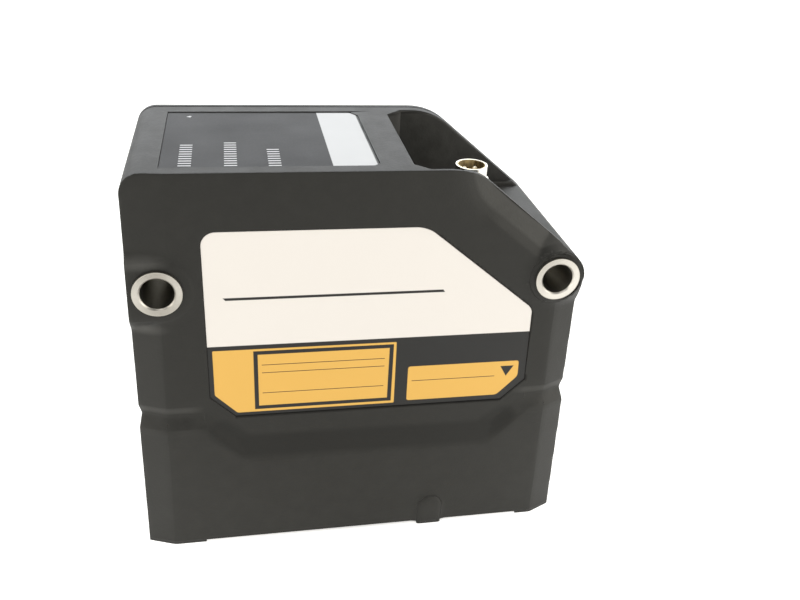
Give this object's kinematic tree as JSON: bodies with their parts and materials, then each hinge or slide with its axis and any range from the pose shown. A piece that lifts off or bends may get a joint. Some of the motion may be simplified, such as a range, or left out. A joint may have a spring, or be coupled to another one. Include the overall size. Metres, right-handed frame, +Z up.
{
  "type": "laser displacement sensor",
  "caption": "Charcoal laser displacement sensor head standing on its sensing face, with steel mounting sleeves and a connector pocket.",
  "frame": {"origin": "middle of the bounding box at the feet of the sensing face", "axes": "+X along the long side towards the connector pocket, +Y from the labelled side to the side cover, +Z up from the sensing face to the top"},
  "size_m": [0.097, 0.0456, 0.09],
  "materials": {
    "case": "fine-grained satin charcoal moulding",
    "cover": "fine-grained satin charcoal moulding",
    "rubber": "matt",
    "screws": "bright",
    "sleeve": "turned stainless",
    "side_label": "printed film",
    "top_label": "printed film",
    "window": "polished",
    "connector": "nickel plated",
    "insert": "satin",
    "gold": "gold plated",
    "nut": "nickel plated",
    "leads": "satin sheath",
    "chassis": "die-cast",
    "barrel": "black anodised",
    "lens": "polished",
    "filter": "polished",
    "imager": "satin",
    "board": "solder mask",
    "flex": "satin film",
    "holder": "turned",
    "chips": "matt",
    "leds": "clear resin",
    "guides": "clear moulding"
  },
  "bodies": {
    "root": {"housing": "case", "side_cover": "cover", "cover_seal": "rubber", "cover_screws": "screws", "sleeve_left": "sleeve", "sleeve_right": "sleeve", "side_label": "side_label", "top_label": "top_label", "receiver_window": "window", "emitter_window": "window", "window_seals": "rubber", "connector_shell": "connector", "connector_insert": "insert", "connector_pins": "gold", "connector_seal": "rubber", "connector_nut": "nut", "connector_leads": "leads", "chassis": "chassis", "chassis_screws": "screws", "receiver_barrel": "barrel", "receiver_lens": "lens", "optical_filter": "filter", "image_sensor": "imager", "sensor_board": "board", "sensor_flex": "flex", "laser_holder": "holder", "laser_diode": "gold", "collimator_lens": "lens", "laser_board": "board", "laser_flex": "flex", "main_board": "board", "board_chips": "chips", "board_screws": "screws", "led_board": "board", "indicator_leds": "leds", "light_guides": "guides"}
  },
  "joints": []
}
